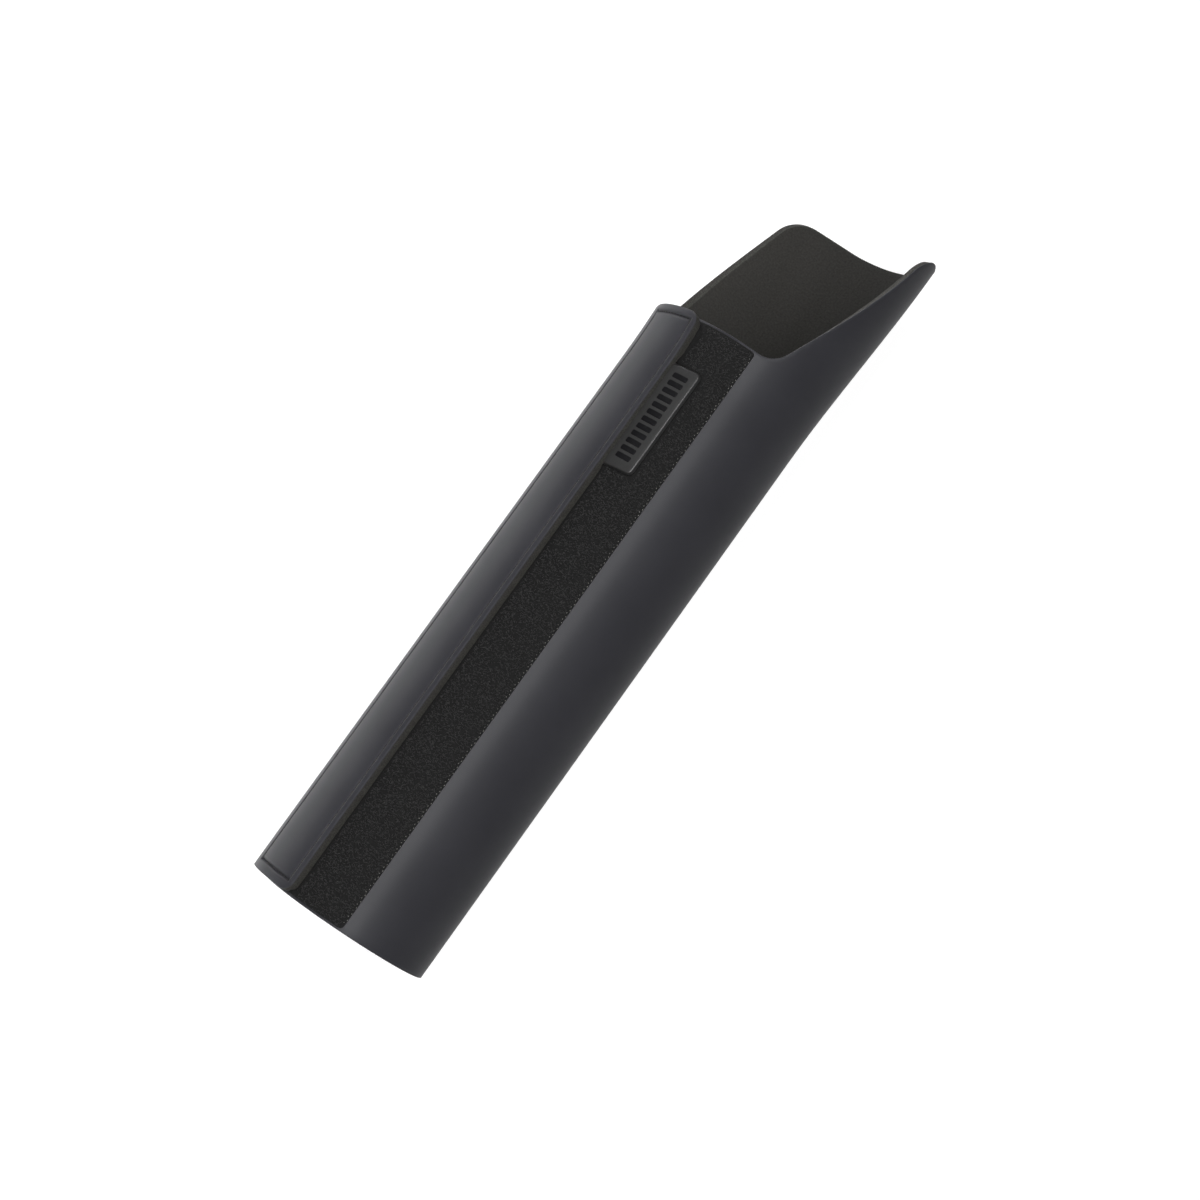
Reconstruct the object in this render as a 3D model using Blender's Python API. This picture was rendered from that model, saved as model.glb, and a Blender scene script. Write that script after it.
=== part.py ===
# Wrap-round frame protector sleeve.
# One sheet of padded foam is cut flat, rolled into a tube and closed by an overlapping flap
# on hook-and-loop tape. A tongue runs on past one end of the tube.
# Every piece is laid out on the flat sheet and then rolled up with it.
# Metres, +Z up. The sleeve lies along X on a small flat spot, tongue towards +X.

import math

import bmesh
import bpy
import numpy as np

OBJECT_NAME = "frame_protector_sleeve"

# Lengths along the sleeve
OVERALL_LENGTH = 0.3006
CLOSED_LENGTH = 0.2359
FLAP_SETBACK = 0.0008
FLAP_OVERRUN = 0.0009
RIM_SLANT = 0.0013
TIP_SLANT = 0.0015
END_LEAN = math.radians(-1.85)

# Thicknesses, and the gap that every pair of touching pieces keeps
WALL = 0.0029
LOOP_THICKNESS = 0.0008
HOOK_THICKNESS = 0.0005
THREAD_THICKNESS = 0.0003
CLEARANCE = 0.0003

# The rolled section. Angles run round the tube from +Y over the top.
TUBE_RADIUS = 0.0317
INNER_EDGE_ANGLE = math.radians(-4.0)
FREE_EDGE_ANGLE = math.radians(414.7)
RISE_START_ANGLE = math.radians(285.0)
RISE_END_ANGLE = math.radians(352.0)
REST_FLAT_DEPTH = 0.0015
REST_FLAT_BLEND = 0.0008

# The tongue, and how it opens out past the closed tube
TONGUE_ANGLE = math.radians(221.8)
TONGUE_BASE_WIDTH = 0.1254
TONGUE_TIP_WIDTH = 0.0848
TONGUE_TIP_ROUNDING = 0.0123
TONGUE_BASE_ROUNDING = 0.0080
OPENING_ANGLE = math.radians(260.0)
OPENING_LEAD = 0.0180
OPENING_RADIUS_GAIN = 0.0034

# The flap and its hook tape
FLAP_CORNER_RADIUS = 0.0038
HOOK_WIDTH = 0.0250
HOOK_EDGE_INSET = 0.0008
HOOK_END_INSET = 0.0012
FLAP_STITCH_EDGE_INSET = 0.0027
FLAP_STITCH_BOX_WIDTH = 0.0210
FLAP_STITCH_LOWER_INSET = 0.0035
FLAP_STITCH_UPPER_INSET = 0.0017
THREAD_WIDTH = 0.0005

# The loop tape on the closed tube
LOOP_EDGE_ANGLE = math.radians(91.5)
LOOP_WIDTH = 0.0470
LOOP_END_INSET = 0.0008
LOOP_CORNER_RADIUS = 0.0025
ZIGZAG_PITCH = 0.00245
ZIGZAG_SWING = 0.0010
LOOP_STITCH_INSET = 0.0025
LOOP_EDGE_MARGIN = 0.0001

# The rubber tab that the flap's stitching holds
TAB_END_GAP = 0.0172
TAB_LENGTH = 0.0425
TAB_REACH = 0.0096
TAB_FLARE = 0.0024
TAB_SLANT = 0.0009
TAB_TUCK = 0.0050
TAB_THICKNESS = 0.0013
TAB_LIFT = 0.0004
TAB_CORNER_RADIUS = 0.0025

# Fineness of the solids
COLUMN_STEP = 0.0030
ROW_STEP = 0.0085
ARC_STEPS = 5
ANGLE_SAMPLES = 1600
SLOPE_NUDGE = 0.001
CUT_TOLERANCE = 1e-6
SHARP_ANGLE = math.radians(30.0)

# Values that follow from the sizes above
MIDDLE_RADIUS = TUBE_RADIUS - WALL / 2
LAYER_LIFT = WALL + LOOP_THICKNESS + HOOK_THICKNESS + 3 * CLEARANCE
REST_LEVEL = REST_FLAT_DEPTH - MIDDLE_RADIUS
OPENING_START = CLOSED_LENGTH - OPENING_LEAD
TAB_END = CLOSED_LENGTH - TAB_END_GAP
TAB_START = TAB_END - TAB_LENGTH


def ease(share):
    # smooth step from 0 to 1
    share = np.clip(share, 0.0, 1.0)
    return share * share * (3.0 - 2.0 * share)


def eased_length(share):
    # what ease() adds up to between 0 and share
    inside = np.clip(share, 0.0, 1.0)
    return inside ** 3 - inside ** 4 / 2.0 + np.maximum(share - 1.0, 0.0)


def radius_gain(x):
    # how much wider the section is bent at a station along the sleeve
    return OPENING_RADIUS_GAIN * ease((x - OPENING_START) / (OVERALL_LENGTH - OPENING_START))


def arc_at(angle, x=0.0):
    # distance along the sheet's middle, from the tongue's centre line
    span = RISE_END_ANGLE - RISE_START_ANGLE
    rise = LAYER_LIFT * span * eased_length((angle - RISE_START_ANGLE) / span)
    bend = MIDDLE_RADIUS + radius_gain(x)
    fixed = MIDDLE_RADIUS * (OPENING_ANGLE - TONGUE_ANGLE)
    return fixed + bend * (angle - OPENING_ANGLE) + rise


def angle_at(arc, x):
    # the angle round the tube that a place on the sheet comes to
    angles = np.linspace(INNER_EDGE_ANGLE - math.pi, FREE_EDGE_ANGLE + math.pi, ANGLE_SAMPLES)
    return np.interp(arc, arc_at(angles, x), angles)


def middle_line(angle, x):
    # Y and Z of the sheet's middle, measured from the tube's axis
    gain = radius_gain(x)
    share = (angle - RISE_START_ANGLE) / (RISE_END_ANGLE - RISE_START_ANGLE)
    radius = MIDDLE_RADIUS + gain + LAYER_LIFT * ease(share)
    y = radius * np.cos(angle) - gain * math.cos(OPENING_ANGLE)
    z = radius * np.sin(angle) - gain * math.sin(OPENING_ANGLE)
    # the resting side is pressed flat, with a soft turn into the round
    above = np.clip(0.5 + 0.5 * (z - REST_LEVEL) / REST_FLAT_BLEND, 0.0, 1.0)
    z = REST_LEVEL * (1.0 - above) + z * above + REST_FLAT_BLEND * above * (1.0 - above)
    return np.array([y, z])


def roll(arc, x, height):
    # a place on the flat sheet, and its height over the sheet's middle, as a point in space
    angle = angle_at(arc, x)
    y, z = middle_line(angle, x)
    run_y, run_z = middle_line(angle + SLOPE_NUDGE, x) - middle_line(angle - SLOPE_NUDGE, x)
    run = math.hypot(run_y, run_z)
    y += height * run_z / run
    z -= height * run_y / run
    return (x + math.tan(END_LEAN) * y, y, z)


def corner(previous, point, following, radius, steps=ARC_STEPS):
    # points that round off one corner of a flat outline
    point = np.array(point)
    back = np.array(previous) - point
    back = back / np.linalg.norm(back)
    ahead = np.array(following) - point
    ahead = ahead / np.linalg.norm(ahead)
    half = math.acos(float(np.dot(back, ahead))) / 2
    middle = (back + ahead) / np.linalg.norm(back + ahead)
    centre = point + middle * radius / math.sin(half)
    first = point + back * radius / math.tan(half) - centre
    last = point + ahead * radius / math.tan(half) - centre
    turn = math.pi - 2 * half
    points = []
    for step in range(steps + 1):
        share = turn * step / steps
        spread = (math.sin(turn - share) * first + math.sin(share) * last) / math.sin(turn)
        points.append(tuple(centre + spread))
    return points


def rounded(points, radii):
    # a closed outline whose corners are rounded by the radius given for each
    outline = []
    count = len(points)
    for index, point in enumerate(points):
        if radii[index] > 0:
            before = points[index - 1]
            after = points[(index + 1) % count]
            outline += corner(before, point, after, radii[index])
        else:
            outline.append(point)
    return outline


def flat_patch(outline):
    # the inside of a closed outline on the flat sheet
    flat = bmesh.new()
    flat.faces.new([flat.verts.new((arc, x, 0.0)) for arc, x in outline])
    return flat


def flat_band(path, closed):
    # a narrow band of thread on the flat sheet; each step gives a place and the way out
    flat = bmesh.new()
    inner = []
    outer = []
    for arc, x, out_arc, out_x in path:
        half = THREAD_WIDTH / 2
        inner.append(flat.verts.new((arc - out_arc * half, x - out_x * half, 0.0)))
        outer.append(flat.verts.new((arc + out_arc * half, x + out_x * half, 0.0)))
    for index in range(0 if closed else 1, len(path)):
        flat.faces.new([inner[index - 1], inner[index], outer[index], outer[index - 1]])
    return flat


def add_rolled(mesh, flat, columns, rows, low, high):
    # one closed solid: a flat shape cut into strips, given its thickness and rolled up.
    # low and high give the heights of its two faces at a place on the sheet.
    cuts = [((arc, 0.0, 0.0), (1.0, 0.0, 0.0)) for arc in columns]
    cuts += [((0.0, x, 0.0), (0.0, 1.0, 0.0)) for x in rows]
    for place, direction in cuts:
        everything = flat.verts[:] + flat.edges[:] + flat.faces[:]
        bmesh.ops.bisect_plane(flat, geom=everything, dist=CUT_TOLERANCE,
                               plane_co=place, plane_no=direction)
    grown = bmesh.ops.extrude_face_region(flat, geom=flat.faces[:])["geom"]
    upper = {item for item in grown if isinstance(item, bmesh.types.BMVert)}
    placed = {}
    for vertex in flat.verts:
        arc, x, _ = vertex.co
        height = high(arc, x) if vertex in upper else low(arc, x)
        placed[vertex] = roll(arc, x, height)
    for vertex, place in placed.items():
        vertex.co = place
    bmesh.ops.recalc_face_normals(flat, faces=flat.faces)
    flat.to_mesh(mesh)
    flat.free()


def column_places(first, last):
    # evenly spread cuts across the sheet, so that each strip is nearly flat
    count = math.ceil((last - first) / COLUMN_STEP)
    return [first + (last - first) * index / count for index in range(1, count)]


def row_places(first, last):
    # cuts across the stretch where the section changes
    start = max(OPENING_START, first)
    if last <= start:
        return []
    count = math.ceil((last - start) / ROW_STEP)
    return [start + (last - start) * index / count for index in range(count)]


def level(height):
    # a face that stays at one height over the sheet's middle
    return lambda arc, x: height


def panel_outline():
    # the cut shape of the foam sheet, with its tongue and its rounded flap corners
    inner = arc_at(INNER_EDGE_ANGLE)
    free = arc_at(FREE_EDGE_ANGLE)
    setback_from = arc_at(RISE_START_ANGLE)
    setback_to = arc_at(RISE_END_ANGLE)
    overrun_from = free - FLAP_STITCH_EDGE_INSET - FLAP_STITCH_BOX_WIDTH
    base = TONGUE_BASE_WIDTH / 2
    tip = TONGUE_TIP_WIDTH / 2
    points = [(inner, 0.0), (setback_from, 0.0), (setback_to, FLAP_SETBACK),
              (free, FLAP_SETBACK), (free, CLOSED_LENGTH + FLAP_OVERRUN),
              (overrun_from, CLOSED_LENGTH + FLAP_OVERRUN), (setback_to, CLOSED_LENGTH),
              (base, CLOSED_LENGTH),
              (tip, OVERALL_LENGTH - TIP_SLANT), (-tip, OVERALL_LENGTH),
              (-base, CLOSED_LENGTH), (inner, CLOSED_LENGTH + RIM_SLANT)]
    radii = [0.0, 0.0, 0.0, FLAP_CORNER_RADIUS, FLAP_CORNER_RADIUS, 0.0, 0.0,
             TONGUE_BASE_ROUNDING, TONGUE_TIP_ROUNDING, TONGUE_TIP_ROUNDING,
             TONGUE_BASE_ROUNDING, 0.0]
    return rounded(points, radii)


def make_sleeve_panel(mesh):
    inner = arc_at(INNER_EDGE_ANGLE)
    free = arc_at(FREE_EDGE_ANGLE)
    columns = column_places(inner, free)
    rows = row_places(0.0, OVERALL_LENGTH)
    flat = flat_patch(panel_outline())
    add_rolled(mesh, flat, columns, rows, level(-WALL / 2), level(WALL / 2))


def loop_edges():
    right = arc_at(LOOP_EDGE_ANGLE)
    return right - LOOP_WIDTH, right


def loop_face():
    # height of the loop tape's upper face over the middle of the sheet
    return WALL / 2 + CLEARANCE + LOOP_THICKNESS


def make_loop_strip(mesh):
    left, right = loop_edges()
    start = LOOP_END_INSET
    end = CLOSED_LENGTH - LOOP_END_INSET
    points = [(left, start), (right, start), (right, end), (left, end)]
    flat = flat_patch(rounded(points, [LOOP_CORNER_RADIUS] * 4))
    rows = row_places(start, end)
    low = level(WALL / 2 + CLEARANCE)
    add_rolled(mesh, flat, column_places(left, right), rows, low, level(loop_face()))


def make_hook_strip(mesh):
    # the hook tape is notched where the tab is tucked in beside it
    edge = arc_at(FREE_EDGE_ANGLE) - HOOK_EDGE_INSET
    back = edge - HOOK_WIDTH
    start = FLAP_SETBACK + HOOK_END_INSET
    end = CLOSED_LENGTH - HOOK_END_INSET
    notch = edge - TAB_TUCK
    notch_start = TAB_START - TAB_FLARE - CLEARANCE
    notch_end = TAB_END + CLEARANCE
    outline = [(back, start), (edge, start), (edge, notch_start), (notch, notch_start),
               (notch, notch_end), (edge, notch_end), (edge, end), (back, end)]
    rows = row_places(start, end)
    face = -WALL / 2 - CLEARANCE
    low = level(face - HOOK_THICKNESS)
    add_rolled(mesh, flat_patch(outline), column_places(back, edge), rows, low, level(face))


def make_label_tab(mesh):
    # the tab lies on the loop tape: a thin root under the flap, then a thicker head
    seam = arc_at(FREE_EDGE_ANGLE - math.tau)
    root = seam - TAB_TUCK + HOOK_EDGE_INSET + CLEARANCE
    head = seam + CLEARANCE
    reach = seam + TAB_REACH
    points = [(root, TAB_START - TAB_FLARE), (reach, TAB_START), (reach, TAB_END),
              (root, TAB_END - TAB_SLANT)]
    outline = rounded(points, [0.0, TAB_CORNER_RADIUS, TAB_CORNER_RADIUS, 0.0])
    base = loop_face() + CLEARANCE

    def underside(arc, x):
        return base + TAB_LIFT * ease((arc - head) / (reach - head))

    def outside(arc, x):
        thickness = HOOK_THICKNESS if arc < head else TAB_THICKNESS
        return underside(arc, x) + thickness

    step = head - CLEARANCE / 3
    columns = [step, head] + column_places(head, reach)
    rows = row_places(TAB_START - TAB_FLARE, TAB_END)
    add_rolled(mesh, flat_patch(outline), columns, rows, underside, outside)


def make_flap_stitching(mesh):
    # one closed box of thread on the flap
    near = arc_at(FREE_EDGE_ANGLE) - FLAP_STITCH_EDGE_INSET
    far = near - FLAP_STITCH_BOX_WIDTH
    start = FLAP_SETBACK + FLAP_STITCH_LOWER_INSET
    end = CLOSED_LENGTH - FLAP_STITCH_UPPER_INSET
    path = [(far, start, -1, -1), (near, start, 1, -1), (near, end, 1, 1), (far, end, -1, 1)]
    low = level(WALL / 2 + CLEARANCE)
    high = level(WALL / 2 + CLEARANCE + THREAD_THICKNESS)
    flat = flat_band(path, closed=True)
    add_rolled(mesh, flat, column_places(far, near), row_places(start, end), low, high)


def loop_thread_faces():
    # the lower and upper faces of the thread that lies on the loop tape
    face = loop_face() + CLEARANCE
    return level(face), level(face + THREAD_THICKNESS)


def make_loop_stitching(mesh):
    # the seam that shows on the loop tape: plain across both ends, zigzag down the long edge
    _, right = loop_edges()
    near = right - LOOP_EDGE_MARGIN - ZIGZAG_SWING / 2
    far = arc_at(FREE_EDGE_ANGLE - math.tau) - CLEARANCE
    start = LOOP_END_INSET + LOOP_STITCH_INSET
    end = CLOSED_LENGTH - start
    count = round((end - start) / ZIGZAG_PITCH) * 2
    corner_turn = {0: -1, count: 1}
    path = [(far, start, 0, -1)]
    for index in range(count + 1):
        side = 1 if index % 2 else -1
        x = start + (end - start) * index / count
        arc = near + side * (ZIGZAG_SWING - THREAD_WIDTH) / 2
        path.append((arc, x, 1, corner_turn.get(index, 0)))
    path.append((far, end, 0, 1))
    low, high = loop_thread_faces()
    flat = flat_band(path, closed=False)
    add_rolled(mesh, flat, column_places(far, near), row_places(start, end), low, high)


def make_loop_rear_stitching(mesh):
    # the plain seam down the edge of the loop tape that the flap hides
    left, _ = loop_edges()
    line = left + LOOP_EDGE_MARGIN + THREAD_WIDTH / 2
    start = LOOP_END_INSET + LOOP_STITCH_INSET
    end = CLOSED_LENGTH - start
    low, high = loop_thread_faces()
    flat = flat_band([(line, start, 1, 0), (line, end, 1, 0)], closed=False)
    add_rolled(mesh, flat, [], row_places(start, end), low, high)


def make_material(name, colour, roughness):
    material = bpy.data.materials.new(name)
    material.use_nodes = True
    shader = material.node_tree.nodes["Principled BSDF"]
    shader.inputs["Base Color"].default_value = (*colour, 1.0)
    shader.inputs["Roughness"].default_value = roughness
    shader.inputs["Metallic"].default_value = 0.0
    material.diffuse_color = (*colour, 1.0)
    return material


def add_piece(collection, name, make, material):
    data = bpy.data.meshes.new(name)
    make(data)
    data.materials.append(material)
    data.shade_smooth()
    data.set_sharp_from_angle(angle=SHARP_ANGLE)
    piece = bpy.data.objects.new(name, data)
    collection.objects.link(piece)
    return piece


def stand_on_origin(pieces):
    # the origin is under the middle of the sleeve, on the surface that it lies on
    corners = np.array([vertex.co[:] for piece in pieces for vertex in piece.data.vertices])
    low = corners.min(axis=0)
    high = corners.max(axis=0)
    for piece in pieces:
        piece.location = (-(low[0] + high[0]) / 2, -(low[1] + high[1]) / 2, -low[2])


def main():
    for item in list(bpy.data.objects):
        bpy.data.objects.remove(item, do_unlink=True)
    collection = bpy.data.collections.new(OBJECT_NAME)
    bpy.context.scene.collection.children.link(collection)
    foam = make_material("neoprene_foam", (0.045, 0.045, 0.048), 0.55)
    loop = make_material("loop_tape", (0.022, 0.022, 0.021), 0.95)
    hook = make_material("hook_tape", (0.020, 0.020, 0.021), 0.60)
    rubber = make_material("moulded_rubber", (0.060, 0.060, 0.062), 0.45)
    thread = make_material("sewing_thread", (0.110, 0.105, 0.095), 0.70)
    pieces = [
        add_piece(collection, "sleeve_panel", make_sleeve_panel, foam),
        add_piece(collection, "loop_strip", make_loop_strip, loop),
        add_piece(collection, "hook_strip", make_hook_strip, hook),
        add_piece(collection, "label_tab", make_label_tab, rubber),
        add_piece(collection, "flap_stitching", make_flap_stitching, thread),
        add_piece(collection, "loop_stitching", make_loop_stitching, thread),
        add_piece(collection, "loop_rear_stitching", make_loop_rear_stitching, thread),
    ]
    stand_on_origin(pieces)


main()
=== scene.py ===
# Padded wrap sleeve for a bicycle frame tube, dressed over its CAD frame.
import math

import bpy
import numpy as np
from mathutils import Matrix, Vector, noise
from mathutils.geometry import delaunay_2d_cdt


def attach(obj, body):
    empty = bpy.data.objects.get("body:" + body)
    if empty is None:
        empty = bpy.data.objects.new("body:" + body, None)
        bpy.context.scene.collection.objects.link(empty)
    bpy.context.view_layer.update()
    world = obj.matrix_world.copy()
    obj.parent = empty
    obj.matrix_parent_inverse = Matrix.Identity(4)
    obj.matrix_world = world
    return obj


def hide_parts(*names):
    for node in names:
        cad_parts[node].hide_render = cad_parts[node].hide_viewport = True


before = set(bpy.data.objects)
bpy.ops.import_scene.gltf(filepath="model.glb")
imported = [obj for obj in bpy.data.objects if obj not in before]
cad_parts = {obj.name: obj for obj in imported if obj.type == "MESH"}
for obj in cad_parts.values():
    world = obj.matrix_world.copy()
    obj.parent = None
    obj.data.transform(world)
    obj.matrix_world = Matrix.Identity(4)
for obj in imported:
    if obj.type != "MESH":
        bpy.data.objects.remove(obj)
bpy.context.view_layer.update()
mm = 0.001

# The sheet as it is cut and rolled. These are the CAD's own sizes, in metres and radians.
rolled = {
    "overallLength": 0.3006,
    "closedLength": 0.2359,
    "flapSetback": 0.0008,
    "flapOverrun": 0.0009,
    "rimSlant": 0.0013,
    "tipSlant": 0.0015,
    "endLean": math.radians(-1.85),
    "wall": 0.0029,
    "loopThickness": 0.0008,
    "hookThickness": 0.0005,
    "clearance": 0.0003,
    "tubeRadius": 0.0317,
    "innerEdge": math.radians(-4.0),
    "freeEdge": math.radians(414.7),
    "riseStart": math.radians(285.0),
    "riseEnd": math.radians(352.0),
    "restFlatDepth": 0.0015,
    "restFlatBlend": 0.0008,
    "tongueAngle": math.radians(221.8),
    "tongueBase": 0.1254,
    "tongueTip": 0.0848,
    "tipRounding": 0.0123,
    "baseRounding": 0.0080,
    "openingAngle": math.radians(260.0),
    "openingLead": 0.0180,
    "openingGain": 0.0034,
    "axisPlace": (-0.150254, -0.001396, 0.0302),   # where the CAD puts the start of the tube's axis
}
wall = rolled["wall"]
clearance = rolled["clearance"]
closedLength = rolled["closedLength"]
middleRadius = rolled["tubeRadius"] - wall / 2
layerLift = wall + rolled["loopThickness"] + rolled["hookThickness"] + 3 * clearance
openingStart = closedLength - rolled["openingLead"]
loopFace = wall / 2 + clearance + rolled["loopThickness"]


def ease(share):
    share = np.clip(share, 0.0, 1.0)
    return share * share * (3.0 - 2.0 * share)


def easedLength(share):
    inside = np.clip(share, 0.0, 1.0)
    return inside ** 3 - inside ** 4 / 2.0 + np.maximum(share - 1.0, 0.0)


def radiusGain(x):
    return rolled["openingGain"] * ease((x - openingStart) / (rolled["overallLength"] - openingStart))


def arcAt(angle, x=0.0):
    # distance along the sheet's middle, from the tongue's centre line
    span = rolled["riseEnd"] - rolled["riseStart"]
    rise = layerLift * span * easedLength((angle - rolled["riseStart"]) / span)
    fixed = middleRadius * (rolled["openingAngle"] - rolled["tongueAngle"])
    return fixed + (middleRadius + radiusGain(x)) * (angle - rolled["openingAngle"]) + rise


def angleAt(arc, x):
    # the angle round the tube for a place on the sheet, closed in on by Newton's steps
    span = rolled["riseEnd"] - rolled["riseStart"]
    angle = rolled["tongueAngle"] + arc / middleRadius
    for _ in range(8):
        slope = middleRadius + radiusGain(x) + layerLift * ease((angle - rolled["riseStart"]) / span)
        angle = angle - (arcAt(angle, x) - arc) / slope
    return angle


def middleLine(angle, x):
    gain = radiusGain(x)
    share = (angle - rolled["riseStart"]) / (rolled["riseEnd"] - rolled["riseStart"])
    radius = middleRadius + gain + layerLift * ease(share)
    y = radius * np.cos(angle) - gain * math.cos(rolled["openingAngle"])
    z = radius * np.sin(angle) - gain * math.sin(rolled["openingAngle"])
    blend = rolled["restFlatBlend"]
    restLevel = rolled["restFlatDepth"] - middleRadius
    above = np.clip(0.5 + 0.5 * (z - restLevel) / blend, 0.0, 1.0)
    return y, restLevel * (1.0 - above) + z * above + blend * above * (1.0 - above)


def roll(flat):
    # flat places (arc, x, height over the sheet's middle) as points in the row frame
    arc, x, height = np.asarray(flat, float).T
    angle = angleAt(arc, x)
    nudge = 0.001
    y, z = middleLine(angle, x)
    aheadY, aheadZ = middleLine(angle + nudge, x)
    behindY, behindZ = middleLine(angle - nudge, x)
    runY, runZ = aheadY - behindY, aheadZ - behindZ
    run = np.hypot(runY, runZ)
    y = y + height * runZ / run
    z = z - height * runY / run
    return np.stack([x + math.tan(rolled["endLean"]) * y, y, z], 1) + np.array(rolled["axisPlace"])


seam = float(arcAt(rolled["freeEdge"] - math.tau))   # where the flap's edge lies over the tube
flapEdge = float(arcAt(rolled["freeEdge"]))
innerEdge = float(arcAt(rolled["innerEdge"]))


# Flat outlines

def cornerPoints(before, point, after, radius, steps):
    point = np.array(point, float)
    back = np.array(before, float) - point
    ahead = np.array(after, float) - point
    back /= np.linalg.norm(back)
    ahead /= np.linalg.norm(ahead)
    half = math.acos(float(back @ ahead)) / 2
    centre = point + (back + ahead) / np.linalg.norm(back + ahead) * radius / math.sin(half)
    first = point + back * radius / math.tan(half) - centre
    last = point + ahead * radius / math.tan(half) - centre
    turn = math.pi - 2 * half
    shares = [turn * step / steps for step in range(steps + 1)]
    return [centre + (math.sin(turn - s) * first + math.sin(s) * last) / math.sin(turn) for s in shares]


def roundedOutline(points, radii, step):
    # a closed outline with rounded corners, as points no further apart than the step
    cornered = []
    for index, point in enumerate(points):
        if radii[index] > 0:
            after = points[(index + 1) % len(points)]
            arcSteps = max(4, math.ceil(radii[index] * 1.6 / step))
            cornered += cornerPoints(points[index - 1], point, after, radii[index], arcSteps)
        else:
            cornered.append(np.array(point, float))
    spread = []
    for index, point in enumerate(cornered):
        after = cornered[(index + 1) % len(cornered)]
        count = max(1, math.ceil(np.linalg.norm(after - point) / step))
        spread += [point + (after - point) * k / count for k in range(count)]
    return np.array(spread)


def insetOutline(outline, inset):
    # an anticlockwise outline moved inwards, by one inset for all its points or one for each
    ahead = np.roll(outline, -1, 0) - outline
    ahead /= np.linalg.norm(ahead, axis=1)[:, None]
    inward = np.stack([-ahead[:, 1], ahead[:, 0]], 1)
    previous = np.roll(inward, 1, 0)
    mitre = (inward + previous) / (1 + (inward * previous).sum(1))[:, None]
    return outline + mitre * np.broadcast_to(inset, len(outline))[:, None]


def depthInside(points, outline):
    # how far each point lies inside an outline; negative outside
    runs = np.roll(outline, -1, 0) - outline
    lengths = (runs * runs).sum(1)
    climb = np.where(runs[:, 1] == 0, 1, runs[:, 1])
    found = []
    for chunk in np.array_split(points, max(1, len(points) // 2000)):
        offset = chunk[:, None, :] - outline[None]
        share = np.clip((offset * runs).sum(2) / lengths, 0, 1)
        nearest = np.hypot(*(offset - share[:, :, None] * runs).transpose(2, 0, 1)).min(1)
        above = outline[None, :, 1] > chunk[:, None, 1]
        aboveNext = np.roll(above, -1, 1)
        crossing = outline[None, :, 0] + runs[:, 0] * (offset[:, :, 1] / climb)
        odd = ((above != aboveNext) & (chunk[:, None, 0] < crossing)).sum(1) % 2
        found.append(np.where(odd == 1, nearest, -nearest))
    return np.concatenate(found)


# Meshes

def newPiece(name, points, faces, materials, faceMaterial=None, flat=None, wearAndHighlight=None):
    data = bpy.data.meshes.new(name)
    data.from_pydata([tuple(p) for p in points], [], faces)
    for material in materials:
        data.materials.append(material)
    if faceMaterial is not None:
        data.polygons.foreach_set("material_index", np.asarray(faceMaterial, np.int32))
    if flat is not None:
        place = data.attributes.new("flatPlace", "FLOAT_VECTOR", "POINT")
        place.data.foreach_set("vector", np.asarray(flat, np.float32).ravel())
    if wearAndHighlight is not None:
        wornAndHighlit = data.attributes.new("edgeWearAndHighlight", "FLOAT", "POINT")
        wornAndHighlit.data.foreach_set("value", np.asarray(wearAndHighlight, np.float32))
    data.shade_smooth()
    data.update()
    piece = bpy.data.objects.new(name, data)
    bpy.context.scene.collection.objects.link(piece)
    return piece


def fillOutline(ring, inner):
    # triangles over an outline and the places inside it; ring places keep their order and come first
    places = np.concatenate([ring, inner]) / mm
    edges = [(k, (k + 1) % len(ring)) for k in range(len(ring))]
    made = delaunay_2d_cdt([Vector(p) for p in places], edges, [], 1, 1e-6)
    spots = np.array([v[:] for v in made[0]]) * mm
    source = [origin[0] if origin else -1 for origin in made[3]]
    faces = []
    for a, b, c in made[2]:
        ahead, across = spots[b] - spots[a], spots[c] - spots[a]
        anticlockwise = ahead[0] * across[1] - ahead[1] * across[0] > 0
        faces.append((a, b, c) if anticlockwise else (a, c, b))
    return spots, source, faces


wearAndHighlightReach = 0.3 * mm      # how far in from a cut edge the face cloth is painted lighter: partly wear, partly a painted highlight on its turned edge


def flatFace(height):
    return lambda arc, x: np.full(np.shape(arc), height)


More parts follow.
